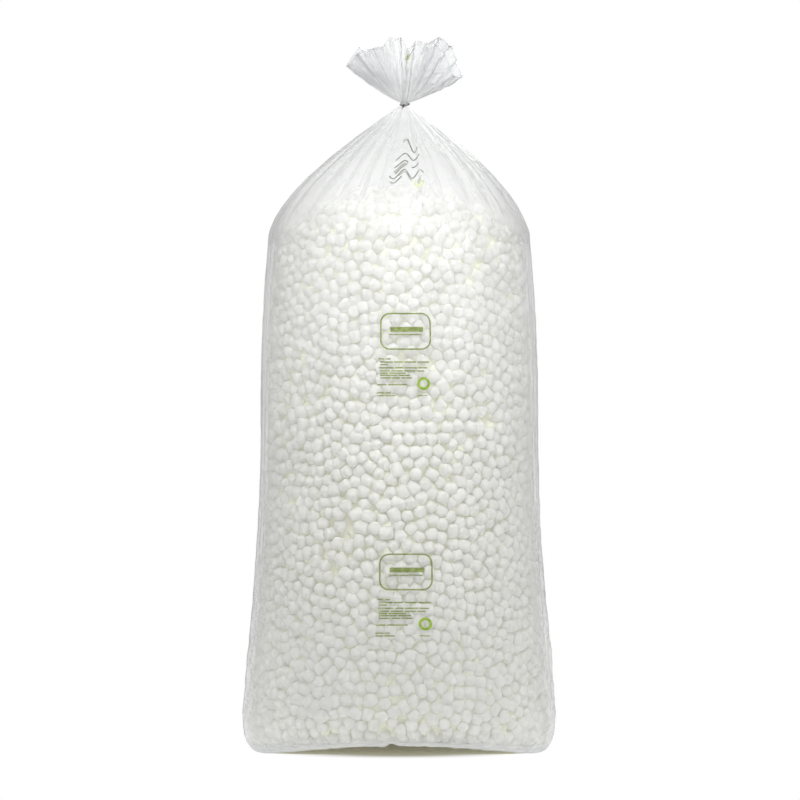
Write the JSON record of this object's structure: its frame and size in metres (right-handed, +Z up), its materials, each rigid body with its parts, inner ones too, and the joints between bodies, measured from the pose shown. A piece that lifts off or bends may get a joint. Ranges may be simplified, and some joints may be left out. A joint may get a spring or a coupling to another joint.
{
  "type": "packing peanut bag",
  "caption": "Tall clear film bag of white foam packing peanuts, gathered at the neck and tied with wire under a flared mouth.",
  "frame": {"origin": "on the floor, under the middle of the bag", "axes": "+Z up along the bag, front facing -Y, +X to the right seen from the front"},
  "size_m": [0.746, 0.6414, 1.7236],
  "materials": {
    "clear_film": "clear, slightly milky polyethylene film",
    "foam_chips": "white starch foam",
    "dark_wire": "dark coated wire"
  },
  "bodies": {
    "root": {"film_bag": "clear_film", "chip_fill": "foam_chips", "tie_wire": "dark_wire"}
  },
  "joints": []
}
